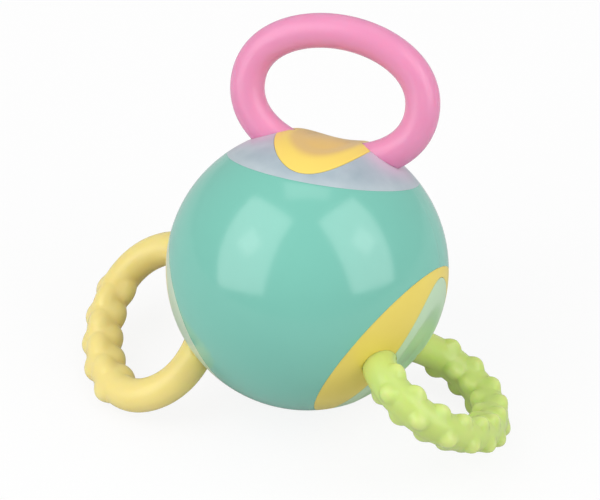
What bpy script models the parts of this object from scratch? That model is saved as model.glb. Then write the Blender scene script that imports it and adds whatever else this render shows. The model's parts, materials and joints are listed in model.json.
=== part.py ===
# Rattle ball: a hollow ball in two screwed halves, with three teething rings that swivel in it.
# Lengths are in metres, angles in degrees, +Z is up and the front is -Y.

import math

import bmesh
import bpy
from mathutils import Matrix, Vector

for old in list(bpy.data.objects):
    bpy.data.objects.remove(old, do_unlink=True)

# Fits
CLEARANCE = 0.0003
SEAM_GAP = 0.0003
OVERRUN = 0.003  # how far a cut runs past the face it opens

# Ball and its halves
BALL_RADIUS = 0.045
SHELL_WALL = 0.0022
OPENING_RADIUS = 0.0308
LEDGE_WIDTH = 0.0033
LEDGE_THICKNESS = 0.0015
PILLAR_DISTANCE = 0.014
PILLAR_RADIUS = 0.0042
COUNTERBORE_RADIUS = 0.003
SCREW_SEAT = 0.008  # from the seam to the face under a shell screw's head

# Ring: an oval loop of round section, whose inner bend is buried in its cap
RING_HALF_WIDTH = 0.0287
RING_HALF_HEIGHT = 0.0203
RING_TUBE_RADIUS = 0.0055
RING_BURIAL = 0.009  # from the ball's surface to the loop's lowest centre line
KNOB_ROWS = 4

# Cap and saddle of a handle
RIM_DEPTH = 0.0018
NECK_WALL = 0.002
SADDLE_HALF_WIDTH = 0.0156
SADDLE_END_MARGIN = 0.0023
SADDLE_LIP = 0.002
SADDLE_SHELF = 0.0026
SHELF_WALL = 0.0015
DISH_DEPTH = 0.0022
DISH_START = 0.82  # share of the saddle's plan that is dished

# What holds a handle in the ball
WASHER_THICKNESS = 0.001
HUB_THICKNESS = 0.002
HUB_OVERLAP = 0.0017
CRADLE_HALF_LENGTH = 0.011
POST_OFFSET = 0.014
POST_RADIUS = 0.004

# Screws
SCREW_RADIUS = 0.00135
SCREW_HEAD_RADIUS = 0.0026
SCREW_HEAD_HEIGHT = 0.0018
SCREW_CROWN_RADIUS = 0.0018
SCREW_GRIP = 0.008  # thread beyond the face it enters
SCREW_TIP_ROOM = 0.001

# Beads
BEAD_COUNT = 6
BEAD_RADIUS = 0.0025
BEAD_GAP = 0.0006
BEAD_LANES = 3
BEAD_LANE_CENTRE = 0.0016

# Pose: each ring's own twist, and how the ball leans when two rings touch the floor
HANDLES = {
    "top": {"turn": 0, "twist": 6.4, "ring": "pink", "cap": "frosted", "saddle": "golden"},
    "left": {"turn": -120, "twist": 41.8, "ring": "yellow", "cap": "frosted", "saddle": "golden"},
    "right": {"turn": 120, "twist": 89.4, "ring": "green", "cap": "golden", "saddle": "frosted"},
}
LEAN = 28.31
ROLL = 2.585

# Knobs on a ring: first_row is an angle about the tube, from the loop's outside,
# and middle is the pattern's own middle, as a distance along the loop from its tip
KNOBS = {
    "top": None,
    "left": {
        "height": 0.0014, "radius": 0.0047, "pitch": 0.00995,
        "stations": 5, "first_row": -9, "middle": -0.0007,
    },
    "right": {
        "height": 0.0019, "radius": 0.0034, "pitch": 0.0095,
        "stations": 11, "first_row": 86.5, "middle": 0.0003,
    },
}

# Facets
ROUND_STEPS = 32
HIDDEN_STEPS = 24
SMALL_STEPS = 8
ARC_STEPS = 6
INNER_ARC_STEPS = 3
RING_STEPS = {"top": 48, "left": 96, "right": 96}
TUBE_STEPS = 16
DISH_STEPS = 3
LENGTH_STEPS = 2000  # along a loop, to measure its length
SMOOTH_ANGLE = 35

# Colour, roughness, metallic
FINISHES = {
    "teal": ((0.216, 0.597, 0.491), 0.22, 0.0),
    "pink": ((0.838, 0.296, 0.491), 0.45, 0.0),
    "yellow": ((0.896, 0.730, 0.246), 0.45, 0.0),
    "green": ((0.651, 0.768, 0.238), 0.45, 0.0),
    "golden": ((0.847, 0.651, 0.162), 0.30, 0.0),
    "frosted": ((0.584, 0.651, 0.651), 0.35, 0.0),
    "hub": ((0.80, 0.80, 0.76), 0.50, 0.0),
    "washer": ((0.30, 0.30, 0.30), 0.80, 0.0),
    "steel": ((0.62, 0.62, 0.63), 0.35, 1.0),
    "bead": ((0.80, 0.25, 0.22), 0.30, 0.0),
}

# Levels along a handle's axis, from the ball's centre
OPENING_LEVEL = math.sqrt(BALL_RADIUS**2 - OPENING_RADIUS**2)
LEDGE_TOP = OPENING_LEVEL - RIM_DEPTH
LEDGE_BOTTOM = LEDGE_TOP - LEDGE_THICKNESS
WASHER_TOP = LEDGE_BOTTOM - CLEARANCE
WASHER_BOTTOM = WASHER_TOP - WASHER_THICKNESS
HUB_TOP = WASHER_BOTTOM - CLEARANCE
HUB_BOTTOM = HUB_TOP - HUB_THICKNESS
STACK_FACE = HUB_TOP + CLEARANCE  # where the neck and the posts meet the hub
RING_LOW = BALL_RADIUS - RING_BURIAL
RING_CENTRE = RING_LOW + RING_HALF_HEIGHT

# Radii about a handle's axis
LEDGE_RADIUS = OPENING_RADIUS - LEDGE_WIDTH
CAP_RADIUS = OPENING_RADIUS - CLEARANCE
NECK_RADIUS = LEDGE_RADIUS - CLEARANCE
NECK_BORE = NECK_RADIUS - NECK_WALL
HUB_RADIUS = LEDGE_RADIUS + HUB_OVERLAP
CAP_INNER_RADIUS = BALL_RADIUS - SADDLE_LIP - CLEARANCE - SHELF_WALL
SADDLE_HALF_LENGTH = CAP_RADIUS - SADDLE_END_MARGIN
PLUG_HALF_WIDTH = SADDLE_HALF_WIDTH - SADDLE_SHELF
PLUG_HALF_LENGTH = NECK_BORE - 2 * CLEARANCE
SHELL_MIDDLE = BALL_RADIUS - SHELL_WALL / 2
SHELL_INNER = BALL_RADIUS - SHELL_WALL


def on_sphere(radius, *offsets):
    """Height on a sphere above a point this far from its axis."""
    return math.sqrt(radius**2 - sum(d * d for d in offsets))


def oval(half_width, half_length, height, steps=ROUND_STEPS):
    """A closed loop of points. height is a number, or a function of the point's x and y."""
    points = []
    for i in range(steps):
        angle = 2 * math.pi * i / steps
        x = half_width * math.cos(angle)
        y = half_length * math.sin(angle)
        points.append((x, y, height(x, y) if callable(height) else height))
    return points


def circle(radius, height, steps=ROUND_STEPS):
    return oval(radius, radius, height, steps)


def bridge(bm, near, far):
    """Faces between two loops of equal count, or a fan where one of them is a single point."""
    for i in range(max(len(near), len(far))):
        corners = [near[i % len(near)], near[(i + 1) % len(near)], far[(i + 1) % len(far)], far[i % len(far)]]
        bm.faces.new(dict.fromkeys(corners))


def skin(name, loops, closed=False):
    """A solid through loops of points. Its ends are filled, unless the last loop joins the first."""
    bm = bmesh.new()
    rows = [[bm.verts.new(point) for point in loop] for loop in loops]
    for near, far in zip(rows, rows[1:]):
        bridge(bm, near, far)
    if closed:
        bridge(bm, rows[-1], rows[0])
    else:
        for end in (rows[0], rows[-1]):
            if len(end) > 1:
                bm.faces.new(end)
    bmesh.ops.recalc_face_normals(bm, faces=bm.faces)
    mesh = bpy.data.meshes.new(name)
    bm.to_mesh(mesh)
    bm.free()
    return mesh


def turned(name, profile, steps=ROUND_STEPS, closed=False):
    """A solid turned about Z from (radius, height) points."""
    return skin(name, [circle(r, z, steps) if r else [(0, 0, z)] for r, z in profile], closed)


def rod(name, radius, low, high, steps=SMALL_STEPS):
    return turned(name, [(radius, low), (radius, high)], steps)


def block(name, low, high):
    """A box between two corners."""
    bm = bmesh.new()
    bmesh.ops.create_cube(bm, size=1)
    mesh = bpy.data.meshes.new(name)
    bm.to_mesh(mesh)
    bm.free()
    size = Vector(high) - Vector(low)
    mesh.transform(Matrix.Translation((Vector(low) + Vector(high)) / 2) @ Matrix.Diagonal((*size, 1)))
    return mesh


def moved(mesh, matrix):
    mesh.transform(matrix)
    return mesh


def shaped(name, start, *steps):
    """The mesh that is left after each (operation, tool meshes) step."""
    work = bpy.data.objects.new(name, start)
    bpy.context.collection.objects.link(work)
    groups = []
    for operation, meshes in steps:
        group = bpy.data.collections.new(name)
        groups.append(group)
        bpy.context.scene.collection.children.link(group)
        for mesh in meshes:
            group.objects.link(bpy.data.objects.new(mesh.name, mesh))
        modifier = work.modifiers.new(name, "BOOLEAN")
        modifier.operation = operation
        modifier.solver = "EXACT"
        modifier.operand_type = "COLLECTION"
        modifier.collection = group
    graph = bpy.context.evaluated_depsgraph_get()
    result = bpy.data.meshes.new_from_object(work.evaluated_get(graph))
    result.name = name
    bpy.data.objects.remove(work)
    for group in groups:
        for tool in list(group.objects):
            bpy.data.objects.remove(tool)
        bpy.data.collections.remove(group)
    return result


def finish(name):
    colour, roughness, metallic = FINISHES[name]
    material = bpy.data.materials.get(name) or bpy.data.materials.new(name)
    material.use_nodes = True
    shader = material.node_tree.nodes["Principled BSDF"]
    shader.inputs["Base Color"].default_value = (*colour, 1)
    shader.inputs["Roughness"].default_value = roughness
    shader.inputs["Metallic"].default_value = metallic
    return material


def place(name, mesh, finish_name, parent, matrix=None):
    """A named piece with its own copy of the mesh, set in its parent's frame."""
    own = mesh.copy()
    own.name = name
    own.materials.clear()
    own.materials.append(finish(finish_name))
    own.shade_smooth()
    own.set_sharp_from_angle(angle=math.radians(SMOOTH_ANGLE))
    piece = bpy.data.objects.new(name, own)
    bpy.context.collection.objects.link(piece)
    piece.parent = parent
    if matrix is not None:
        piece.matrix_local = matrix
    return piece


def empty(name, parent=None, matrix=None):
    frame = bpy.data.objects.new(name, None)
    bpy.context.collection.objects.link(frame)
    frame.parent = parent
    if matrix is not None:
        frame.matrix_local = matrix
    return frame


def turn_matrix(degrees, axis):
    return Matrix.Rotation(math.radians(degrees), 4, axis)


def screw(name, grip):
    """A pan-head screw along Z, with the underside of its head at 0 and its thread upwards."""
    profile = [
        (SCREW_CROWN_RADIUS, -SCREW_HEAD_HEIGHT),
        (SCREW_HEAD_RADIUS, -SCREW_HEAD_HEIGHT / 2),
        (SCREW_HEAD_RADIUS, 0),
        (SCREW_RADIUS, 0),
        (SCREW_RADIUS, grip),
    ]
    return turned(name, profile, SMALL_STEPS)


def loop_stations(count):
    """(angle, distance along the loop from its tip) at equal steps of length. Angle 0 is the buried bend."""
    lengths = [0.0]
    for i in range(LENGTH_STEPS):
        angle = 2 * math.pi * (i + 0.5) / LENGTH_STEPS
        step = math.hypot(RING_HALF_WIDTH * math.cos(angle), RING_HALF_HEIGHT * math.sin(angle))
        lengths.append(lengths[-1] + step * 2 * math.pi / LENGTH_STEPS)
    stations = []
    i = 0
    for k in range(count):
        wanted = lengths[-1] * k / count
        while lengths[i + 1] < wanted:
            i += 1
        share = (wanted - lengths[i]) / (lengths[i + 1] - lengths[i])
        stations.append((2 * math.pi * (i + share) / LENGTH_STEPS, lengths[-1] / 2 - wanted))
    return stations


def knob_rise(knobs, along, around):
    """How far the surface stands out, along the loop from its tip and around the tube from its outside."""
    rise = 0.0
    for row in range(KNOB_ROWS):
        centre = math.radians(knobs["first_row"] + 360 * row / KNOB_ROWS)
        across = math.remainder(around - centre, 2 * math.pi) * RING_TUBE_RADIUS
        count = knobs["stations"] - row % 2
        for k in range(count):
            station = knobs["middle"] + (k - (count - 1) / 2) * knobs["pitch"]
            reach = math.hypot(along - station, across) / knobs["radius"]
            if reach < 1:
                rise = max(rise, knobs["height"] * math.cos(reach * math.pi / 2))
    return rise


def ring(name, extra=0.0, knobs=None, steps=RING_STEPS["top"]):
    """The loop in the XZ plane, its tube thicker by extra, with any knobs on it."""
    first = math.radians(knobs["first_row"]) if knobs else 0.0
    loops = []
    for angle, along in loop_stations(steps):
        side, down = math.sin(angle), math.cos(angle)
        centre = Vector((RING_HALF_WIDTH * side, 0, RING_CENTRE - RING_HALF_HEIGHT * down))
        outward = Vector((side / RING_HALF_WIDTH, 0, -down / RING_HALF_HEIGHT)).normalized()
        loop = []
        for i in range(TUBE_STEPS):
            around = first + 2 * math.pi * i / TUBE_STEPS
            radius = RING_TUBE_RADIUS + extra
            if knobs:
                radius += knob_rise(knobs, along, around)
            direction = math.cos(around) * outward + math.sin(around) * Vector((0, 1, 0))
            loop.append(centre + radius * direction)
        loops.append(loop)
    return skin(name, loops, closed=True)


def ring_room():
    """The ring's own shape with clearance all round, to cut what it passes through."""
    return ring("ring_room", extra=CLEARANCE)


def plug_loops(gap, low, top_loops):
    """A saddle's loops, from its top down: lip, lip's underside, plug and flat base."""
    lip_under = BALL_RADIUS - SADDLE_LIP - gap
    wide = (SADDLE_HALF_WIDTH + gap, SADDLE_HALF_LENGTH + gap)
    narrow = (PLUG_HALF_WIDTH + gap, PLUG_HALF_LENGTH + gap)

    def underside(x, y):
        return on_sphere(lip_under, x, y)

    return [*top_loops, oval(*wide, underside), oval(*narrow, underside), oval(*narrow, low)]


def dished(share):
    """Height of the saddle's top, at this share of its plan from the middle."""
    depth = DISH_DEPTH * max(0.0, 1 - (share / DISH_START) ** 2)
    return lambda x, y: on_sphere(BALL_RADIUS, x, y) - depth


def at_posts(name, radius, low, high):
    """A rod at each of the two places where a saddle is screwed to its hub."""
    return [moved(rod(name, radius, low, high), Matrix.Translation((0, offset, 0)))
            for offset in (-POST_OFFSET, POST_OFFSET)]


def saddle_mesh():
    shares = [DISH_START * i / DISH_STEPS for i in range(1, DISH_STEPS + 1)] + [1.0]
    top = [oval(SADDLE_HALF_WIDTH * s, SADDLE_HALF_LENGTH * s, dished(s)) for s in shares]
    base = RING_LOW + CLEARANCE
    hole_top = HUB_TOP + SCREW_GRIP + SCREW_TIP_ROOM
    posts = at_posts("post", POST_RADIUS, STACK_FACE, base + POST_RADIUS / 2)
    holes = at_posts("screw_hole", SCREW_RADIUS + CLEARANCE, STACK_FACE - OVERRUN, hole_top)
    body = skin("saddle_block", plug_loops(0, base, top))
    return shaped("saddle", body, ("UNION", posts), ("DIFFERENCE", [ring_room(), *holes]))


def dome_arc(radius, reach, steps):
    """(radius, height) points over a sphere, from its pole out to this reach."""
    span = math.asin(reach / radius)
    angles = [span * i / steps for i in range(steps + 1)]
    return [(radius * math.sin(angle), radius * math.cos(angle)) for angle in angles]


def cap_mesh():
    outer = dome_arc(BALL_RADIUS, CAP_RADIUS, ARC_STEPS)
    inner = dome_arc(CAP_INNER_RADIUS, NECK_BORE, INNER_ARC_STEPS)[::-1]
    seat = LEDGE_TOP + CLEARANCE
    rim = [(CAP_RADIUS, seat), (NECK_RADIUS, seat), (NECK_RADIUS, STACK_FACE), (NECK_BORE, STACK_FACE)]
    dome = turned("dome", outer + rim + inner)
    pocket_top = [oval(SADDLE_HALF_WIDTH + CLEARANCE, SADDLE_HALF_LENGTH + CLEARANCE, BALL_RADIUS + OVERRUN)]
    pocket_low = on_sphere(CAP_INNER_RADIUS, NECK_BORE) - CLEARANCE
    pocket = skin("pocket", plug_loops(CLEARANCE, pocket_low, pocket_top))
    return shaped("cap", dome, ("DIFFERENCE", [pocket, ring_room()]))


def hub_mesh():
    disc = rod("disc", HUB_RADIUS, HUB_BOTTOM, HUB_TOP, HIDDEN_STEPS)
    half_width = POST_OFFSET - POST_RADIUS - CLEARANCE
    low = (-CRADLE_HALF_LENGTH, -half_width, HUB_TOP - HUB_THICKNESS / 2)
    high = (CRADLE_HALF_LENGTH, half_width, RING_LOW - CLEARANCE)
    holes = at_posts("screw_hole", SCREW_RADIUS + CLEARANCE, HUB_BOTTOM - OVERRUN, HUB_TOP + OVERRUN)
    cradle = block("cradle", low, high)
    return shaped("hub", disc, ("UNION", [cradle]), ("DIFFERENCE", [ring_room(), *holes]))


def washer_mesh():
    inner = NECK_RADIUS + CLEARANCE
    outer = HUB_RADIUS - CLEARANCE
    profile = [(inner, WASHER_BOTTOM), (outer, WASHER_BOTTOM), (outer, WASHER_TOP), (inner, WASHER_TOP)]
    return turned("washer", profile, HIDDEN_STEPS, closed=True)


def pillar_places():
    """The screw pillars stand along Y, midway between the handles."""
    return [turn_matrix(angle, "Y") @ Vector((0, 0, PILLAR_DISTANCE)) for angle in (60, 180, 300)]


def along_y(side):
    """Turns Z to point out of the ball through its front (-1) or its rear (1)."""
    return turn_matrix(-90 * side, "X")


def pillar(side, spot):
    """A post from just past the seam to the middle of the shell's wall."""
    flat = along_y(side).inverted() @ spot
    rim = [(flat.x + x, flat.y + y) for x, y, _ in circle(PILLAR_RADIUS, 0, SMALL_STEPS)]
    loops = [[(x, y, -OVERRUN) for x, y in rim], [(x, y, on_sphere(SHELL_MIDDLE, x, y)) for x, y in rim]]
    return moved(skin("pillar", loops), along_y(side))


def screw_cut(side, spot, radius, low, high):
    flat = along_y(side).inverted() @ spot
    hole = rod("screw_hole", radius, low, high)
    return moved(hole, along_y(side) @ Matrix.Translation((flat.x, flat.y, 0)))


def shell_mesh(name, side):
    """Half of the ball. side is -1 for the front and 1 for the rear."""
    past_seam = [(BALL_RADIUS, -OVERRUN), (SHELL_INNER, -OVERRUN)]
    outer = dome_arc(BALL_RADIUS, BALL_RADIUS, ARC_STEPS + 1)
    inner = dome_arc(SHELL_INNER, SHELL_INNER, ARC_STEPS + 1)[::-1]
    half_facet = turn_matrix(180 / ROUND_STEPS, "Z")
    bowl = moved(turned("bowl", outer + past_seam + inner), along_y(side) @ half_facet)
    arms = [turn_matrix(handle["turn"], "Y") for handle in HANDLES.values()]
    mouth = [(OPENING_RADIUS, LEDGE_TOP - LEDGE_THICKNESS / 2), (OPENING_RADIUS, BALL_RADIUS + OVERRUN)]
    ledge = [
        (LEDGE_RADIUS, LEDGE_BOTTOM),
        (on_sphere(SHELL_MIDDLE, LEDGE_BOTTOM), LEDGE_BOTTOM),
        (on_sphere(SHELL_MIDDLE, LEDGE_TOP), LEDGE_TOP),
        (LEDGE_RADIUS, LEDGE_TOP),
    ]
    mouths = [moved(turned("mouth", mouth), arm) for arm in arms]
    ribs = [moved(turned("ledge", ledge, closed=True), arm) for arm in arms]
    ribs += [pillar(side, spot) for spot in pillar_places()]
    reach = 2 * BALL_RADIUS
    other_half = block("other_half", (-reach, -reach, -reach), (reach, reach, SEAM_GAP / 2))
    cuts = [moved(other_half, along_y(side))]
    for spot in pillar_places():
        depth = SCREW_GRIP + SCREW_TIP_ROOM if side < 0 else SCREW_SEAT + OVERRUN
        cuts.append(screw_cut(side, spot, SCREW_RADIUS + CLEARANCE, -2 * OVERRUN, depth))
        if side > 0:
            cuts.append(screw_cut(side, spot, COUNTERBORE_RADIUS, SCREW_SEAT, BALL_RADIUS + OVERRUN))
    return shaped(name, bowl, ("DIFFERENCE", mouths), ("UNION", ribs), ("DIFFERENCE", cuts))


def build_ball(ball):
    place("front_shell", shell_mesh("front_shell", -1), "teal", ball)
    place("rear_shell", shell_mesh("rear_shell", 1), "teal", ball)
    shank = SCREW_SEAT + CLEARANCE + SCREW_GRIP
    for number, spot in enumerate(pillar_places(), 1):
        seat = Vector((spot.x, SCREW_SEAT + CLEARANCE, spot.z))
        turn = Matrix.Translation(seat) @ along_y(-1)
        place(f"shell_screw_{number}", screw("shell_screw", shank), "steel", ball, turn)


def build_handle(side, handle, ball, shared):
    twist = turn_matrix(handle["turn"], "Y") @ turn_matrix(handle["twist"], "Z")
    arm = empty(f"{side}_swivel", ball, twist)
    knobs = KNOBS[side]
    place(f"{side}_ring", ring("ring", knobs=knobs, steps=RING_STEPS[side]), handle["ring"], arm)
    place(f"{side}_cap", shared["cap"], handle["cap"], arm)
    place(f"{side}_saddle", shared["saddle"], handle["saddle"], arm)
    place(f"{side}_hub", shared["hub"], "hub", arm)
    place(f"{side}_washer", shared["washer"], "washer", arm)
    for number, offset in enumerate((-POST_OFFSET, POST_OFFSET), 1):
        seat = Matrix.Translation((0, offset, HUB_BOTTOM - CLEARANCE))
        shank = CLEARANCE + HUB_THICKNESS + SCREW_GRIP
        place(f"{side}_clamp_screw_{number}", screw("clamp_screw", shank), "steel", arm, seat)


def bead_has_room(spot, lean):
    """Whether a bead here, seen from the ball's centre, clears every hub's rim and every pillar."""
    beside = BEAD_RADIUS + BEAD_GAP
    for handle in HANDLES.values():
        axis = lean @ turn_matrix(handle["turn"], "Y") @ Vector((0, 0, 1))
        level = spot.dot(axis)
        if level > 0 and (spot - level * axis).length < HUB_RADIUS + beside:
            return False
    along = lean @ Vector((0, 1, 0))
    for pillar_spot in pillar_places():
        offset = spot - lean @ pillar_spot
        if (offset - offset.dot(along) * along).length < PILLAR_RADIUS + beside:
            return False
    return True


def bead_places(lean):
    """(turn about X, offset along X, depth) of each bead on the shell's inside, the lowest rows first."""
    pitch = 2 * BEAD_RADIUS + BEAD_GAP
    orbit = SHELL_INNER - BEAD_RADIUS - BEAD_GAP
    half_step = math.degrees(math.asin(pitch / 2 / orbit))
    places = []
    for k in range(int(90 / half_step)):
        turn = half_step * (k // 2 * 2 + 1) * (1 if k % 2 else -1)
        for lane in range(BEAD_LANES):
            x = BEAD_LANE_CENTRE + (lane - (BEAD_LANES - 1) / 2) * pitch
            depth = on_sphere(orbit, x)
            if bead_has_room(turn_matrix(turn, "X") @ Vector((x, 0, -depth)), lean):
                places.append((turn, x, depth))
    return places[:BEAD_COUNT]


def build_beads(root, lean):
    """Beads lie in rows against each other, on the lowest part of the shell's inside that has room."""
    bm = bmesh.new()
    bmesh.ops.create_icosphere(bm, subdivisions=2, radius=BEAD_RADIUS)
    mesh = bpy.data.meshes.new("bead")
    bm.to_mesh(mesh)
    bm.free()
    for number, (turn, x, depth) in enumerate(bead_places(lean), 1):
        swing = empty(f"bead_swing_{number}", root, turn_matrix(turn, "X"))
        place(f"rattle_bead_{number}", mesh, "bead", swing, Matrix.Translation((x, 0, -depth)))


def stand_on_floor(root):
    """Moves the whole toy so that its box's lowest middle point is the origin."""
    bpy.context.view_layer.update()
    points = [piece.matrix_world @ vertex.co
              for piece in bpy.data.objects if piece.type == "MESH" for vertex in piece.data.vertices]
    low = Vector([min(p[i] for p in points) for i in range(3)])
    high = Vector([max(p[i] for p in points) for i in range(3)])
    middle = (low + high) / 2
    root.location = (-middle.x, -middle.y, -low.z)
    bpy.context.view_layer.update()


def build():
    root = empty("rattle_ball")
    lean = turn_matrix(-LEAN, "X") @ turn_matrix(-ROLL, "Y")
    ball = empty("ball_lean", root, lean)
    build_ball(ball)
    shared = {"cap": cap_mesh(), "saddle": saddle_mesh(), "hub": hub_mesh(), "washer": washer_mesh()}
    for side, handle in HANDLES.items():
        build_handle(side, handle, ball, shared)
    build_beads(root, lean)
    stand_on_floor(root)


build()
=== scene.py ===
import json
import math

import bmesh
import bpy
from mathutils import Matrix, Vector


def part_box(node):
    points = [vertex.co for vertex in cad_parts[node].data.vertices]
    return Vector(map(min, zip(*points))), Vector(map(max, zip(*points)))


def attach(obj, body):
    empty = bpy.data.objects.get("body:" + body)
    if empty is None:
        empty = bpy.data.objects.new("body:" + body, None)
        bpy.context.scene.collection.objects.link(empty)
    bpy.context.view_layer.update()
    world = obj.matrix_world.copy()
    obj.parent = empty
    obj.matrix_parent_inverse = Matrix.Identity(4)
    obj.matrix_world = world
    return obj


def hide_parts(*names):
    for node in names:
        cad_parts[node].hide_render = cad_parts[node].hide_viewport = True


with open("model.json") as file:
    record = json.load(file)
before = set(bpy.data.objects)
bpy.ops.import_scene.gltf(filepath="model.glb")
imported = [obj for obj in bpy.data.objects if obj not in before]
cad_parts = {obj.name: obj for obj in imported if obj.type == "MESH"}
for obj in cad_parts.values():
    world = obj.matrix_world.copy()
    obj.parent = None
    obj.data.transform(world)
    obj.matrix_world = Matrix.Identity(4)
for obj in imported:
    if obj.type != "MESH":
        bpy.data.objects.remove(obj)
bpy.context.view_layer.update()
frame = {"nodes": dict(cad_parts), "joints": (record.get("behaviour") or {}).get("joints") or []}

sides = ("top", "left", "right")
joints = {joint["name"]: joint for joint in frame["joints"]}
ballCentre = Vector(joints["top_swivel"]["pos_m"])  # the three arms cross here
mm = 0.001
sliver = 0.005 * mm  # points closer than this become one
sortFrom = (0.31, 0.17, 0.23)  # off every plane of symmetry
print("frame loaded:", len(frame["nodes"]), "nodes")


# Axes that the pieces are modelled in, read from the frame
def axesAt(x, y, z):
    return Matrix.Translation(ballCentre) @ Matrix((x, y, z)).transposed().to_4x4()


def armOf(side):
    return Vector(joints[side + "_swivel"]["axis"]).normalized()


def middleOf(node):
    low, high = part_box(node)
    return (low + high) / 2


def handleAxes(side):  # x across the ring, y through its loop, z out along the arm
    z = armOf(side)
    y = middleOf(side + "_clamp_screw_2") - middleOf(side + "_clamp_screw_1")
    y = (y - z * y.dot(z)).normalized()
    return axesAt(y.cross(z), y, z)


def ballAxes():  # y out of the rear half, z up the top arm
    z = armOf("top")
    y = armOf("left").cross(z).normalized()
    return axesAt(y.cross(z), y, z)


# Hand tools: each works on one piece, with nothing else selected
def pick(piece):
    bpy.ops.object.select_all(action="DESELECT")
    piece.select_set(True)
    bpy.context.view_layer.objects.active = piece


def startNew():
    bpy.ops.object.select_all(action="DESELECT")


def openMesh(piece):
    pick(piece)
    bpy.ops.object.mode_set(mode="EDIT")


def closeMesh():
    bpy.ops.object.mode_set(mode="OBJECT")


def selectPoints(piece, test):  # in edit mode: picks the points whose place passes
    mesh = bmesh.from_edit_mesh(piece.data)
    bpy.ops.mesh.select_mode(type="VERT")
    bpy.ops.mesh.select_all(action="DESELECT")
    for point in mesh.verts:
        point.select = bool(test(point.co))
    mesh.select_flush_mode()
    bmesh.update_edit_mesh(piece.data)


def mergeCut(distance):  # in edit mode, after a bisect, which numbers its points anew each run
    bpy.context.scene.cursor.location = sortFrom
    bpy.ops.mesh.select_all(action="SELECT")
    bpy.ops.mesh.sort_elements(type="CURSOR_DISTANCE", elements={"VERT", "EDGE", "FACE"})
    bpy.context.scene.cursor.location = (0, 0, 0)  # new primitives start at the cursor
    bpy.ops.mesh.remove_doubles(threshold=distance)


def finishWith(piece, kind, **settings):
    pick(piece)
    modifier = piece.modifiers.new(kind.title(), kind)
    for name, value in settings.items():
        setattr(modifier, name, value)
    bpy.ops.object.modifier_apply(modifier=modifier.name)


def carve(piece, tool, operation="DIFFERENCE"):
    finishWith(piece, "BOOLEAN", operation=operation, object=tool, solver="EXACT")
    bpy.data.objects.remove(tool)


def twin(piece):
    other = piece.copy()
    other.data = piece.data.copy()
    bpy.context.collection.objects.link(other)
    return other


def softenEdges(piece, width, steps=3, angle=50):
    finishWith(piece, "BEVEL", width=width, segments=steps, limit_method="ANGLE",
               angle_limit=math.radians(angle), use_clamp_overlap=True)
    openMesh(piece)
    bpy.ops.mesh.select_all(action="SELECT")
    bpy.ops.mesh.remove_doubles(threshold=sliver)
    closeMesh()


def shadeRound(piece, angle=35):
    pick(piece)
    bpy.ops.object.shade_smooth_by_angle(angle=math.radians(angle))


def paint(piece, name, value):  # a number on every point, for the piece's material to read
    layer = piece.data.attributes.new(name, "FLOAT", "POINT")
    for point, item in zip(piece.data.vertices, layer.data):
        item.value = value(point.co)


def settle(piece, name, axes, body, node, slot, finish):
    piece.name = name
    piece.data.name = name
    piece.matrix_world = axes
    pick(piece)
    bpy.ops.object.transform_apply(location=True, rotation=True, scale=True)
    piece.data.materials.clear()
    piece.data.materials.append(finish)
    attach(piece, body)
    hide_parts(node)


def smoothStep(low, high, value):
    share = min(max((value - low) / (high - low), 0), 1)
    return share * share * (3 - 2 * share)


# Shader wires: sums of values are written as plain expressions
class Wire:
    def __init__(self, tree, socket=None):
        self.tree = tree
        self.socket = socket

    def node(self, kind, settings=None, sockets=None, output=0):
        made = self.tree.nodes.new(kind)
        for name, value in (settings or {}).items():
            setattr(made, name, value)
        for name, value in (sockets or {}).items():
            if isinstance(value, Wire):
                self.tree.links.new(value.socket, made.inputs[name])
            else:
                made.inputs[name].default_value = value
        return Wire(self.tree, made.outputs[output])

    def maths(self, operation, first, second):
        return self.node("ShaderNodeMath", {"operation": operation}, {0: first, 1: second})

    def __add__(self, other):
        return self.maths("ADD", self, other)

    __radd__ = __add__

    def __mul__(self, other):
        return self.maths("MULTIPLY", self, other)

    __rmul__ = __mul__

    def feed(self, node, socket):
        self.tree.links.new(self.socket, node.inputs[socket])


def tint(code):  # a colour as a screen shows it, in the numbers that a shader takes
    channels = [int(code[i:i + 2], 16) / 255 for i in (0, 2, 4)]
    linear = [c / 12.92 if c <= 0.04045 else ((c + 0.055) / 1.055) ** 2.4 for c in channels]
    return (*linear, 1)


def newFinish(name, **values):
    material = bpy.data.materials.new(name)
    material.use_nodes = True
    shader = material.node_tree.nodes["Principled BSDF"]
    for socket, value in values.items():
        shader.inputs[socket].default_value = value
    return material, Wire(material.node_tree), shader


def blendColours(wire, share, first, second):  # a Mix node's colours are its sockets 6 and 7
    return wire.node("ShaderNodeMix", {"data_type": "RGBA"}, {0: share, 6: first, 7: second}, output=2)


def cloudy(wire, size, detail=3):  # soft patches about this many metres across
    where = wire.node("ShaderNodeTexCoord", output="Object")
    return wire.node("ShaderNodeTexNoise", {"noise_dimensions": "3D"},
                     {"Vector": where, "Scale": 1 / size, "Detail": detail, "Roughness": 0.5})


def readPaint(wire, name):
    return wire.node("ShaderNodeAttribute", {"attribute_name": name}, output="Fac")


def dimple(wire, shader, height, distance, strength):
    bump = wire.node("ShaderNodeBump", sockets={
        "Height": height, "Distance": distance, "Strength": strength})
    bump.feed(shader, "Normal")


# Finishes: a look is one piece's own, and what several pieces share stands beside it
tealLook = {
    "colour": "7ecbb9",
    "patch": "79c6b5",
    "patchSize": 30 * mm,
    "shine": 0.75,
    "gloss": 0.12,
    "scuffs": 0.06,
    "scuffSize": 6 * mm,
    "peel": 0.2,
    "peelSize": 4 * mm,
    "peelDepth": 0.02 * mm,
}


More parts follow.
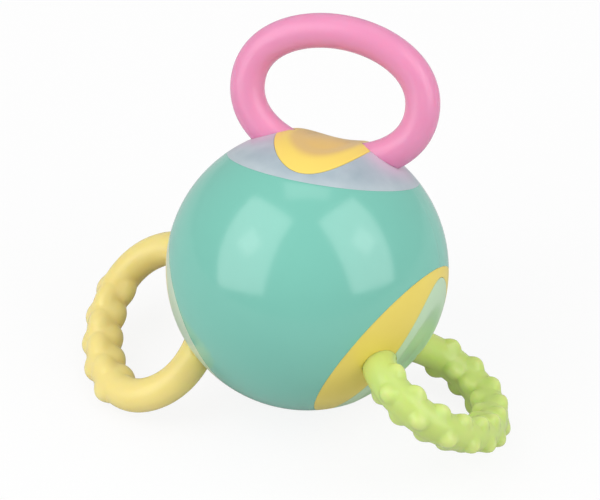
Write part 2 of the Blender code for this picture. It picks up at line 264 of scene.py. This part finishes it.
def tealFinish():
    look = tealLook
    material, wire, shader = newFinish("teal_polish", **{"Specular IOR Level": look["shine"]})
    patches = cloudy(wire, look["patchSize"])
    blendColours(wire, patches, tint(look["colour"]), tint(look["patch"])).feed(shader, "Base Color")
    (cloudy(wire, look["scuffSize"], detail=5) * look["scuffs"] + look["gloss"]).feed(shader, "Roughness")
    dimple(wire, shader, cloudy(wire, look["peelSize"], detail=1), look["peelDepth"], look["peel"])
    return material


# In each ring look the knob colour is a painted highlight on the tips of the knobs
pinkLook = {"colour": "ee9dc3", "patch": "eb96bd", "knob": "ee9dc3", "gloss": 0.17,
            "glow": (3 * mm, 1.5 * mm, 2 * mm)}
yellowLook = {"colour": "fee796", "patch": "fce28e", "knob": "ffeba0", "gloss": 0.2,
              "glow": (3 * mm, 2.5 * mm, 1 * mm)}
greenLook = {"colour": "d2e385", "patch": "c9e07b", "knob": "e4ed9c", "gloss": 0.2,
             "glow": (2 * mm, 3 * mm, 1 * mm)}
rubber = {
    "softness": 0.6,
    "bending": 1.45,  # of light, where it enters
    "patchSize": 12 * mm,
    "knobHighlightShare": 0.5,
    "bloom": 0.06,
    "bloomSize": 3 * mm,
    "skin": 0.3,
    "skinSize": 1.5 * mm,
    "skinDepth": 0.02 * mm,
}


def rubberFinish(name, look):
    material, wire, shader = newFinish(name, **{
        "Subsurface Weight": rubber["softness"], "Subsurface Radius": look["glow"],
        "Subsurface Scale": 1.0, "IOR": rubber["bending"]})
    patches = cloudy(wire, rubber["patchSize"])
    body = blendColours(wire, patches, tint(look["colour"]), tint(look["patch"]))
    # painted highlight, lighter towards the knob tips
    tipHighlight = readPaint(wire, "rise") * rubber["knobHighlightShare"]
    blendColours(wire, tipHighlight, body, tint(look["knob"])).feed(shader, "Base Color")
    bloom = cloudy(wire, rubber["bloomSize"], detail=4) * rubber["bloom"]
    (bloom + look["gloss"]).feed(shader, "Roughness")
    dimple(wire, shader, cloudy(wire, rubber["skinSize"], detail=2), rubber["skinDepth"], rubber["skin"])
    return material


satin = {
    "gloss": 0.29,
    "grain": 0.1,
    "grainSize": 2 * mm,
    "skin": 0.25,
    "skinSize": 0.7 * mm,
    "skinDepth": 0.02 * mm,
}


def satinSkin(wire, shader):  # the fine frosting that the caps and inlays share
    (cloudy(wire, satin["grainSize"]) * satin["grain"] + satin["gloss"]).feed(shader, "Roughness")
    dimple(wire, shader, cloudy(wire, satin["skinSize"]), satin["skinDepth"], satin["skin"])


# Each cap look holds a painted glow in its ring's colour, for the cap next to the ring's legs
frostLook = {"colour": "94a9b5", "pale": "c5d1d7", "near": "d5c4d6", "rim": "d0dcde"}
creamLook = {"colour": "bed8c2", "pale": "cae0ce", "near": "c8deb6", "rim": "d6e4d4"}
# The rim colour of each cap look is a paler painted glow, as light shows through the thin frosted edge
frost = {"cloudSize": 9 * mm, "nearTint": 0.85, "rimGlowShare": 0.25}


def frostFinish(name, look):
    material, wire, shader = newFinish(name)
    milky = blendColours(wire, cloudy(wire, frost["cloudSize"]), tint(look["colour"]), tint(look["pale"]))
    # painted ring glow: near a ring's legs the cap takes the ring's colour, as if its light showed
    # through
    near = readPaint(wire, "ringNear") * frost["nearTint"]
    withRingGlow = blendColours(wire, near, milky, tint(look["near"]))
    # painted rim glow: the cap is painted paler towards its rim
    rim = readPaint(wire, "rimNear") * frost["rimGlowShare"]
    blendColours(wire, rim, withRingGlow, tint(look["rim"])).feed(shader, "Base Color")
    satinSkin(wire, shader)
    return material


goldLook = {"colour": "f7e06e", "patch": "f2d963", "patchSize": 12 * mm}


def goldCapFinish(name):
    look = goldLook
    material, wire, shader = newFinish(name)
    patches = cloudy(wire, look["patchSize"])
    blendColours(wire, patches, tint(look["colour"]), tint(look["patch"])).feed(shader, "Base Color")
    satinSkin(wire, shader)
    return material


# Each inlay's darker dish colour is painted shade and a greyish painted reflection on the dish floor; the
# lip colour is the plastic's own
goldDish = {"lip": "fde06c", "dishShade": "eec874"}
paleDish = {"lip": "e6e4c8", "dishShade": "d8d2ae"}
mintDish = {"lip": "c8e5c4", "dishShade": "b2dcae"}
dishPatches = {"size": 10 * mm, "tint": 0.15}


def inlayFinish(name, look):
    material, wire, shader = newFinish(name)
    # painted shade on the dish floor, read from the dish paint
    body = blendColours(wire, readPaint(wire, "dish"), tint(look["lip"]), tint(look["dishShade"]))
    patches = cloudy(wire, dishPatches["size"]) * dishPatches["tint"]
    blendColours(wire, patches, body, tint(look["dishShade"])).feed(shader, "Base Color")
    satinSkin(wire, shader)
    return material


steelLook = {
    "dull": "b9babb",
    "bright": "d6d7d8",
    "gloss": 0.2,
    "streaks": 0.25,
    "streakSize": 1.2 * mm,
    "pits": 0.3,
    "pitSize": 0.25 * mm,
    "pitDepth": 0.01 * mm,
}


def steelFinish():
    look = steelLook
    material, wire, shader = newFinish("zinc_steel", **{"Metallic": 1.0})
    streaks = cloudy(wire, look["streakSize"], detail=6)
    blendColours(wire, streaks, tint(look["dull"]), tint(look["bright"])).feed(shader, "Base Color")
    (streaks * look["streaks"] + look["gloss"]).feed(shader, "Roughness")
    dimple(wire, shader, cloudy(wire, look["pitSize"]), look["pitDepth"], look["pits"])
    return material


hubLook = {"colour": "e6e6e0", "patch": "dcdcd5", "gloss": 0.45}
washerLook = {"colour": "94949a", "patch": "86868c", "gloss": 0.8}
beadLook = {"colour": "e78a80", "patch": "df7d74", "gloss": 0.2}
inner = {
    "patchSize": 5 * mm,
    "grain": 0.15,
    "grainSize": 1.5 * mm,
    "skin": 0.3,
    "skinSize": 0.4 * mm,
    "skinDepth": 0.02 * mm,
}


def innerFinish(name, look):
    material, wire, shader = newFinish(name)
    patches = cloudy(wire, inner["patchSize"])
    blendColours(wire, patches, tint(look["colour"]), tint(look["patch"])).feed(shader, "Base Color")
    (cloudy(wire, inner["grainSize"]) * inner["grain"] + look["gloss"]).feed(shader, "Roughness")
    dimple(wire, shader, cloudy(wire, inner["skinSize"]), inner["skinDepth"], inner["skin"])
    return material


# The ball: two screwed halves with three round mouths
ball = {
    "radius": 45 * mm,
    "wall": 2.2 * mm,
    "mouthRadius": 30.8 * mm,
    "seamGap": 0.1 * mm,
    "segments": 192,
    "rings": 96,
    "mergeCut": 0.1 * mm,
    "edgeRound": 0.12 * mm,
    "pocketOut": 14 * mm,
    "pocketAngles": (60, 180, 300),
    "pocketRadius": 3 * mm,
    "pocketWall": 1.2 * mm,
    "pocketFloor": 8 * mm,
    "pocketSides": 48,
    "drillEnd": 49.5 * mm,  # clear of the ball's outside
    "trimSegments": 96,
    "trimRings": 48,
}


def chordLevel(across):  # how far out along an arm the ball is this wide
    return math.sqrt(ball["radius"] ** 2 - across ** 2)


def halfBall(facing):  # facing is -1 for the front half and 1 for the rear
    startNew()
    bpy.ops.mesh.primitive_uv_sphere_add(
        segments=ball["segments"], ring_count=ball["rings"], radius=ball["radius"])
    half = bpy.context.object
    turn = ballAxes().to_3x3().inverted()
    openMesh(half)
    for side in sides:
        arm = turn @ armOf(side)
        mouth = arm * chordLevel(ball["mouthRadius"])
        bpy.ops.mesh.select_all(action="SELECT")
        bpy.ops.mesh.bisect(plane_co=mouth, plane_no=arm, clear_outer=True)
    bpy.ops.mesh.select_all(action="SELECT")
    seam = (0, facing * ball["seamGap"] / 2, 0)
    bpy.ops.mesh.bisect(plane_co=seam, plane_no=(0, facing, 0), clear_inner=True)
    mergeCut(ball["mergeCut"])
    closeMesh()
    finishWith(half, "SOLIDIFY", thickness=ball["wall"], offset=-1, use_even_offset=True)
    return half


def pocketPlace(angle, along):  # a place on a pocket's line, which runs along the ball's y
    turn = math.radians(angle)
    return Vector((ball["pocketOut"] * math.sin(turn), along, ball["pocketOut"] * math.cos(turn)))


def pocketRod(angle, radius, low, high):
    startNew()
    bpy.ops.mesh.primitive_cylinder_add(
        vertices=ball["pocketSides"], radius=radius, depth=high - low,
        location=pocketPlace(angle, (low + high) / 2), rotation=(math.radians(90), 0, 0))
    return bpy.context.object


def rearPockets(half):
    for angle in ball["pocketAngles"]:
        postRadius = ball["pocketRadius"] + ball["pocketWall"]
        post = pocketRod(angle, postRadius, ball["seamGap"] / 2, ball["radius"])
        startNew()
        bpy.ops.mesh.primitive_uv_sphere_add(  # trims the post to end inside the wall
            segments=ball["trimSegments"], ring_count=ball["trimRings"],
            radius=ball["radius"] - ball["wall"] / 2)
        carve(post, bpy.context.object, "INTERSECT")
        carve(half, post, "UNION")
        carve(half, pocketRod(angle, ball["pocketRadius"], ball["pocketFloor"], ball["drillEnd"]))


teal = tealFinish()
for facing, name, node in ((-1, "teal_front_half", "front_shell"), (1, "teal_rear_half", "rear_shell")):
    half = halfBall(facing)
    if facing > 0:
        rearPockets(half)
    softenEdges(half, ball["edgeRound"])
    shadeRound(half)
    settle(half, name, ballAxes(), "ball", node, "ball_teal", teal)
    print(name, len(half.data.polygons), "faces")

# The rings: oval rubber tubes, two of them with pulled-out knobs
ring = {
    "halfWidth": 28.7 * mm,
    "halfHeight": 20.3 * mm,
    "tube": 5.5 * mm,
    "buried": 9 * mm,  # from the ball's surface in to the oval's inner end
    "arcSteps": 150,
    "tubeSteps": 22,
    "paces": 400,  # small steps that measure a length along the oval
    "smoothAngle": 60,
    "knobRows": 4,
    "footSmoothing": 0.5,
    "highlightFrom": 0.3,  # share of a knob's rise where its tip's painted highlight starts
}
ringMiddle = ball["radius"] - ring["buried"] + ring["halfHeight"]
knobs = {
    "left": {
        "rise": 1.7 * mm,
        "between": 0.8 * mm,  # rise of every other row
        "reach": 4.5 * mm,
        "pitch": 9.95 * mm,
        "stations": 5,
        "firstRow": -9,  # degrees round the tube from its outer side
        "middle": -0.7 * mm,  # along the oval from its outer end
        "rounds": 4,  # of smoothing at the feet
    },
    "right": {
        "rise": 1.9 * mm,
        "between": 1.9 * mm,
        "reach": 3.5 * mm,
        "pitch": 9.5 * mm,
        "stations": 11,
        "firstRow": 86.5,
        "middle": 0.3 * mm,
        "rounds": 2,
    },
}


def ovalTube(tube, arcSteps, tubeSteps):
    startNew()
    bpy.ops.curve.primitive_bezier_circle_add(radius=1, location=(0, 0, 0))
    loop = bpy.context.object
    openMesh(loop)
    bpy.ops.curve.select_all(action="SELECT")
    bpy.ops.transform.resize(value=(ring["halfWidth"], ring["halfHeight"], 1), center_override=(0, 0, 0))
    closeMesh()
    loop.matrix_world = Matrix.Translation((0, 0, ringMiddle)) @ Matrix.Rotation(math.radians(90), 4, "X")
    bpy.ops.object.transform_apply(location=True, rotation=True, scale=True)
    loop.data.resolution_u = arcSteps
    loop.data.bevel_depth = tube
    loop.data.bevel_resolution = tubeSteps
    bpy.ops.object.convert(target="MESH")
    return bpy.context.object


def loopPlace(fromTip):  # the point on the oval this far along it from its outer end
    angle = 0.0
    for step in range(ring["paces"]):
        pace = math.hypot(ring["halfWidth"] * math.cos(angle), ring["halfHeight"] * math.sin(angle))
        angle += fromTip / ring["paces"] / pace
    across, along = math.sin(angle), math.cos(angle)
    place = Vector((ring["halfWidth"] * across, 0, ringMiddle + ring["halfHeight"] * along))
    out = Vector((across / ring["halfWidth"], 0, along / ring["halfHeight"])).normalized()
    return place, out


def knobPlaces(knob):
    for row in range(ring["knobRows"]):
        around = math.radians(knob["firstRow"] + 360 * row / ring["knobRows"])
        between = row % 2  # every other row lies half a pitch on
        count = knob["stations"] - between
        rise = knob["between"] if between else knob["rise"]
        for k in range(count):
            place, out = loopPlace(knob["middle"] + (k - (count - 1) / 2) * knob["pitch"])
            away = out * math.cos(around) + Vector((0, math.sin(around), 0))
            yield place + away * ring["tube"], away * rise


def pullKnobs(piece, knob):
    openMesh(piece)
    mesh = bmesh.from_edit_mesh(piece.data)
    bpy.ops.mesh.select_mode(type="VERT")
    for place, pull in knobPlaces(knob):
        bpy.ops.mesh.select_all(action="DESELECT")
        nearest = min(mesh.verts, key=lambda point: (point.co - place).length_squared)
        nearest.select = True
        bpy.ops.transform.translate(
            value=pull, use_proportional_edit=True, proportional_edit_falloff="INVERSE_SQUARE",
            proportional_size=knob["reach"], use_proportional_connected=False)
    closeMesh()
    finishWith(piece, "SMOOTH", factor=ring["footSmoothing"], iterations=knob["rounds"])


def offLoop(place):  # how far a point is from the oval's centreline
    gap = Vector((place.x / ring["halfWidth"], 0, (place.z - ringMiddle) / ring["halfHeight"]))
    onOval = gap.normalized()
    centre = Vector((onOval.x * ring["halfWidth"], 0, ringMiddle + onOval.z * ring["halfHeight"]))
    return (place - centre).length


def paintTipHighlight(piece, knob):  # 0 on the tube and 1 on the tips of the knobs, which get a painted highlight
    paint(piece, "rise", lambda place: smoothStep(
        ring["highlightFrom"], 1, (offLoop(place) - ring["tube"]) / knob["rise"]))


ringFinishes = {
    "top": rubberFinish("pink_rubber", pinkLook),
    "left": rubberFinish("yellow_rubber", yellowLook),
    "right": rubberFinish("green_rubber", greenLook),
}
ringNames = {"top": "pink", "left": "yellow", "right": "green"}
for side in sides:
    piece = ovalTube(ring["tube"], ring["arcSteps"], ring["tubeSteps"])
    if side in knobs:
        pullKnobs(piece, knobs[side])
        paintTipHighlight(piece, knobs[side])
    shadeRound(piece, ring["smoothAngle"])
    colour = ringNames[side]
    settle(piece, colour + "_ring", handleAxes(side), side + "_handle", side + "_ring",
           "ring_" + colour, ringFinishes[side])
    print(piece.name, len(piece.data.polygons), "faces")

# The round caps and their dished inlays, modelled once along +Z and copied to each arm
cap = {
    "radius": 30.67 * mm,
    "wall": 1.8 * mm,
    "segments": 192,
    "rings": 96,
    "mergeCut": 0.05 * mm,
    "edgeRound": 0.12 * mm,
    "ringGlowTubes": 3,  # tube radii from the ring's centreline to where its painted ring glow ends
    "rimFrom": 0.9,
    "rimFull": 0.99,
}
inlay = {
    "halfWidth": 15.6 * mm,
    "halfLength": 28.2 * mm,
    "thick": 2.0 * mm,
    "gap": 0.1 * mm,
    "sides": 128,
    "loops": 32,
    "formerSegments": 256,
    "formerRings": 128,
    "onLoop": 0.3,  # share of a loop's width in which a point is taken to lie on it
    "lipShare": 0.82,
    "floorShare": 0.4,
    "paintLip": 0.82,
    "paintFloor": 0.62,
    "dishDepth": 2.2 * mm,
    "edgeRound": 0.3 * mm,
}
leg = {"gap": 0.1 * mm, "arcSteps": 40, "tubeSteps": 8}


def legRoom():  # what a ring's two legs need cut out for them
    return ovalTube(ring["tube"] + leg["gap"], leg["arcSteps"], leg["tubeSteps"])


def makeCap():
    startNew()
    bpy.ops.mesh.primitive_uv_sphere_add(
        segments=cap["segments"], ring_count=cap["rings"], radius=ball["radius"])
    piece = bpy.context.object
    openMesh(piece)
    bpy.ops.mesh.select_all(action="SELECT")
    bpy.ops.mesh.bisect(plane_co=(0, 0, chordLevel(cap["radius"])), plane_no=(0, 0, 1), clear_inner=True)
    mergeCut(cap["mergeCut"])
    closeMesh()
    finishWith(piece, "SOLIDIFY", thickness=cap["wall"], offset=-1, use_even_offset=True)
    startNew()
    bpy.ops.mesh.primitive_cylinder_add(
        vertices=inlay["sides"], radius=1, depth=1, location=(0, 0, ball["radius"]),
        scale=(inlay["halfWidth"] + inlay["gap"], inlay["halfLength"] + inlay["gap"], ball["radius"]))
    opening = bpy.context.object
    bpy.ops.object.transform_apply(location=True, rotation=True, scale=True)
    carve(piece, opening)
    carve(piece, legRoom())
    softenEdges(piece, cap["edgeRound"], steps=2)
    ringGlowEnd = cap["ringGlowTubes"] * ring["tube"]
    # painted ring glow: 1 on the cap next to the ring's legs, fading out a few tube radii away
    paint(piece, "ringNear", lambda place: 1 - smoothStep(ring["tube"], ringGlowEnd, offLoop(place)))
    # painted rim glow: 0 inside, rising to 1 at the cap's rim
    paint(piece, "rimNear", lambda place: smoothStep(
        cap["rimFrom"], cap["rimFull"], math.hypot(place.x, place.y) / cap["radius"]))
    shadeRound(piece)
    return piece


def dishProfile(share):  # 0 on the lip, 1 at the middle of the dish
    return 1 - smoothStep(inlay["floorShare"], inlay["lipShare"], share)


def makeInlay():
    startNew()
    bpy.ops.mesh.primitive_circle_add(
        vertices=inlay["sides"], radius=1, fill_type="NGON", location=(0, 0, 0))
    piece = bpy.context.object
    openMesh(piece)
    bpy.ops.mesh.select_all(action="SELECT")
    for k in range(inlay["loops"] - 1):  # rings of faces from the rim to the middle
        bpy.ops.mesh.inset(thickness=1 / inlay["loops"])
    bpy.ops.mesh.poke()
    bpy.ops.mesh.select_all(action="SELECT")
    bpy.ops.transform.resize(
        value=(inlay["halfWidth"], inlay["halfLength"], 1), center_override=(0, 0, 0))
    closeMesh()
    startNew()
    bpy.ops.mesh.primitive_uv_sphere_add(
        segments=inlay["formerSegments"], ring_count=inlay["formerRings"], radius=ball["radius"])
    former = bpy.context.object
    finishWith(piece, "SHRINKWRAP", target=former, wrap_method="PROJECT", use_project_z=True,
               use_positive_direction=True, use_negative_direction=False)
    bpy.data.objects.remove(former)

    def shareOf(place):
        return math.hypot(place.x / inlay["halfWidth"], place.y / inlay["halfLength"])

    # dish paint: where the dish floor gets its painted shade
    paint(piece, "dish", lambda place: 1 - smoothStep(
        inlay["paintFloor"], inlay["paintLip"], shareOf(place)))
    nearLoop = inlay["onLoop"] / inlay["loops"]
    openMesh(piece)
    for k in range(inlay["loops"]):  # each ring of points sinks by its share of the dish
        share = k / inlay["loops"]
        sink = inlay["dishDepth"] * dishProfile(share)
        if sink > 0:
            selectPoints(piece, lambda place: abs(shareOf(place) - share) < nearLoop)
            bpy.ops.transform.translate(value=(0, 0, -sink))
    closeMesh()
    finishWith(piece, "SOLIDIFY", thickness=inlay["thick"], offset=-1, use_even_offset=False)
    carve(piece, legRoom())
    softenEdges(piece, inlay["edgeRound"])
    shadeRound(piece)
    return piece


capModel = makeCap()
print("cap modelled:", len(capModel.data.polygons), "faces")
inlayModel = makeInlay()
print("inlay modelled:", len(inlayModel.data.polygons), "faces")
frosted = frostFinish("frosted_cap", frostLook)
creamy = frostFinish("creamy_cap", creamLook)
golden = goldCapFinish("golden_cap")
goldInlay = inlayFinish("golden_inlay", goldDish)
paleInlay = inlayFinish("pale_inlay", paleDish)
mintInlay = inlayFinish("mint_inlay", mintDish)
capFinishes = {
    "top": ("cap_frosted", frosted),
    "left": ("cap_frosted", creamy),
    "right": ("cap_golden", golden),
}
inlayFinishes = {
    "top": ("saddle_golden", goldInlay),
    "left": ("saddle_golden", paleInlay),
    "right": ("saddle_mint", mintInlay),
}
for side in sides:
    axes, body = handleAxes(side), side + "_handle"
    settle(twin(capModel), side + "_collar", axes, body, side + "_cap", *capFinishes[side])
    settle(twin(inlayModel), side + "_inlay", axes, body, side + "_saddle", *inlayFinishes[side])
bpy.data.objects.remove(capModel)
bpy.data.objects.remove(inlayModel)

# The pan-head screws at the bottom of the rear pockets
screw = {
    "headRadius": 2.6 * mm,
    "headHeight": 1.8 * mm,
    "headSides": 48,
    "crown": 1.08 * mm,
    "crownSteps": 5,
    "shank": 1.35 * mm,
    "length": 12 * mm,
    "slotLong": 2.8 * mm,
    "slotWide": 0.7 * mm,
    "slotDeep": 1.0 * mm,
    "seatGap": 0.3 * mm,
}


def makeScrew():  # along +Y, with the underside of its head at 0
    startNew()
    bpy.ops.mesh.primitive_cylinder_add(
        vertices=screw["headSides"], radius=screw["headRadius"], depth=screw["headHeight"],
        location=(0, screw["headHeight"] / 2, 0), rotation=(math.radians(-90), 0, 0))
    piece = bpy.context.object
    bpy.ops.object.transform_apply(location=True, rotation=True, scale=True)
    openMesh(piece)
    selectPoints(piece, lambda place: place.y > screw["headHeight"] / 2)
    bpy.ops.mesh.bevel(offset=screw["crown"], segments=screw["crownSteps"])
    selectPoints(piece, lambda place: place.y < sliver)
    bpy.ops.mesh.inset(thickness=screw["headRadius"] - screw["shank"])
    bpy.ops.mesh.extrude_region_move(TRANSFORM_OT_translate={"value": (0, -screw["length"], 0)})
    closeMesh()
    for turn in (0, 90):
        startNew()
        bpy.ops.mesh.primitive_cube_add(
            size=1, location=(0, screw["headHeight"], 0), rotation=(0, math.radians(turn), 0),
            scale=(screw["slotLong"], 2 * screw["slotDeep"], screw["slotWide"]))
        carve(piece, bpy.context.object)
    shadeRound(piece)
    return piece


steel = steelFinish()
screwModel = makeScrew()
for k, angle in enumerate(ball["pocketAngles"]):
    number = str(k + 1)
    seat = Matrix.Translation(pocketPlace(angle, ball["pocketFloor"] + screw["seatGap"]))
    settle(twin(screwModel), "pocket_screw_" + number, ballAxes() @ seat,
           "ball", "shell_screw_" + number, "screw_steel", steel)
bpy.data.objects.remove(screwModel)
print("screws seated")

# What stays inside keeps its solids and gets a finish
innerFinishes = {
    "_hub": innerFinish("hub_nylon", hubLook),
    "_washer": innerFinish("washer_felt", washerLook),
    "_clamp_screw": steel,
    "rattle_bead": innerFinish("bead_gloss", beadLook),
}
for node, solid in frame["nodes"].items():
    for word, finish in innerFinishes.items():
        if word in node:
            solid.data.materials.clear()
            solid.data.materials.append(finish)
print("inner pieces finished")

# Camera, light and floor
view = {
    "azimuth": 24.79,
    "elevation": 38.41,
    "roll": -0.3,
    "distance": 1144.4 * mm,
    "right": -2.3 * mm,
    "up": 6.0 * mm,
    "lens": 215.9,
    "sensor": 36,
}
lamps = {
    "left_box": {"toward": (-0.73, 0.292, 0.618), "wide": 1.31, "tall": 1.98, "turn": -14, "level": 1.8},
    "right_box": {"toward": (0.683, 0.301, 0.666), "wide": 1.18, "tall": 1.92, "turn": 19, "level": 1.8},
    "left_core": {"toward": (-0.716, 0.326, 0.617), "wide": 0.42, "tall": 0.42, "turn": 45, "level": 1.1},
    "right_core": {"toward": (0.697, 0.352, 0.625), "wide": 0.42, "tall": 0.42, "turn": 45, "level": 1.1},
    "top_box": {"toward": (0.0, 0.925, 0.379), "wide": 0.8, "tall": 0.5, "turn": 0, "level": 1.0},
}
lampDistance = 1.5  # metres from the middle of the ball
room = {
    "ambient": 0.39,
    "floorSize": 12.0,
    "floorColour": "f4f4f4",
    "floorDim": "cccccc",
    "floorRough": 0.9,
    "floorGlow": 0.88,
    "mirrored": 0.1,
}


def cameraAxes():
    azimuth = math.radians(view["azimuth"])
    elevation = math.radians(view["elevation"])
    back = Vector((math.sin(azimuth) * math.cos(elevation), -math.cos(azimuth) * math.cos(elevation),
                   math.sin(elevation)))
    level = Vector((0, 0, 1)).cross(back).normalized()
    right = Matrix.Rotation(math.radians(view["roll"]), 3, back) @ level
    return right, back.cross(right), back


def turnedTo(right, up, back):
    return Matrix((right, up, back)).transposed().to_4x4()


right, up, back = cameraAxes()
camera = bpy.data.objects.new("camera", bpy.data.cameras.new("camera"))
bpy.context.collection.objects.link(camera)
camera.data.lens = view["lens"]
camera.data.sensor_width = view["sensor"]
eye = ballCentre + back * view["distance"] + right * view["right"] + up * view["up"]
camera.matrix_world = Matrix.Translation(eye) @ turnedTo(right, up, back)
bpy.context.scene.camera = camera

for name, lamp in lamps.items():
    x, y, z = lamp["toward"]
    toward = (right * x + up * y + back * z).normalized()
    across = Matrix.Rotation(math.radians(lamp["turn"]), 3, toward) @ up.cross(toward).normalized()
    light = bpy.data.lights.new(name, "AREA")
    light.shape = "RECTANGLE"
    light.size = lamp["wide"]
    light.size_y = lamp["tall"]
    light.energy = lamp["level"] * math.pi * lamp["wide"] * lamp["tall"]
    box = bpy.data.objects.new(name, light)
    bpy.context.collection.objects.link(box)
    box.matrix_world = (Matrix.Translation(ballCentre + toward * lampDistance)
                        @ turnedTo(across, toward.cross(across), toward))


def whiteFor(wire):  # 1 where the camera looks, also through a clear piece, and less in a reflection
    camera, glossy, clear = [wire.node("ShaderNodeLightPath", output=name)
                             for name in ("Is Camera Ray", "Is Glossy Ray", "Is Transmission Ray")]
    return wire.maths("MINIMUM", camera + clear + glossy * room["mirrored"], 1.0)


def floorFinish():
    material, wire, shader = newFinish("pale_floor", **{"Roughness": room["floorRough"]})
    looked = wire.node("ShaderNodeLightPath", output="Is Camera Ray")
    paleness = blendColours(wire, looked, tint(room["floorDim"]), tint(room["floorColour"]))
    paleness.feed(shader, "Base Color")
    glow = wire.node("ShaderNodeEmission", sockets={"Color": (1, 1, 1, 1), "Strength": 1.0})
    plain = Wire(wire.tree, shader.outputs["BSDF"])
    share = whiteFor(wire) * room["floorGlow"]
    mixed = wire.node("ShaderNodeMixShader", sockets={0: share, 1: plain, 2: glow})
    mixed.feed(wire.tree.nodes["Material Output"], "Surface")
    return material


startNew()
bpy.ops.mesh.primitive_plane_add(size=room["floorSize"], location=(0, 0, 0))
floor = bpy.context.object
floor.name = "floor"
floor.data.materials.append(floorFinish())

world = bpy.data.worlds.new("studio")
world.use_nodes = True
bpy.context.scene.world = world
skyWire = Wire(world.node_tree)
sky = world.node_tree.nodes["Background"]
sky.inputs["Color"].default_value = (1, 1, 1, 1)
seen = whiteFor(skyWire)
(seen * (1 - room["ambient"]) + room["ambient"]).feed(sky, "Strength")
bpy.context.scene.view_settings.view_transform = "Standard"
print("camera, lamps and floor set")
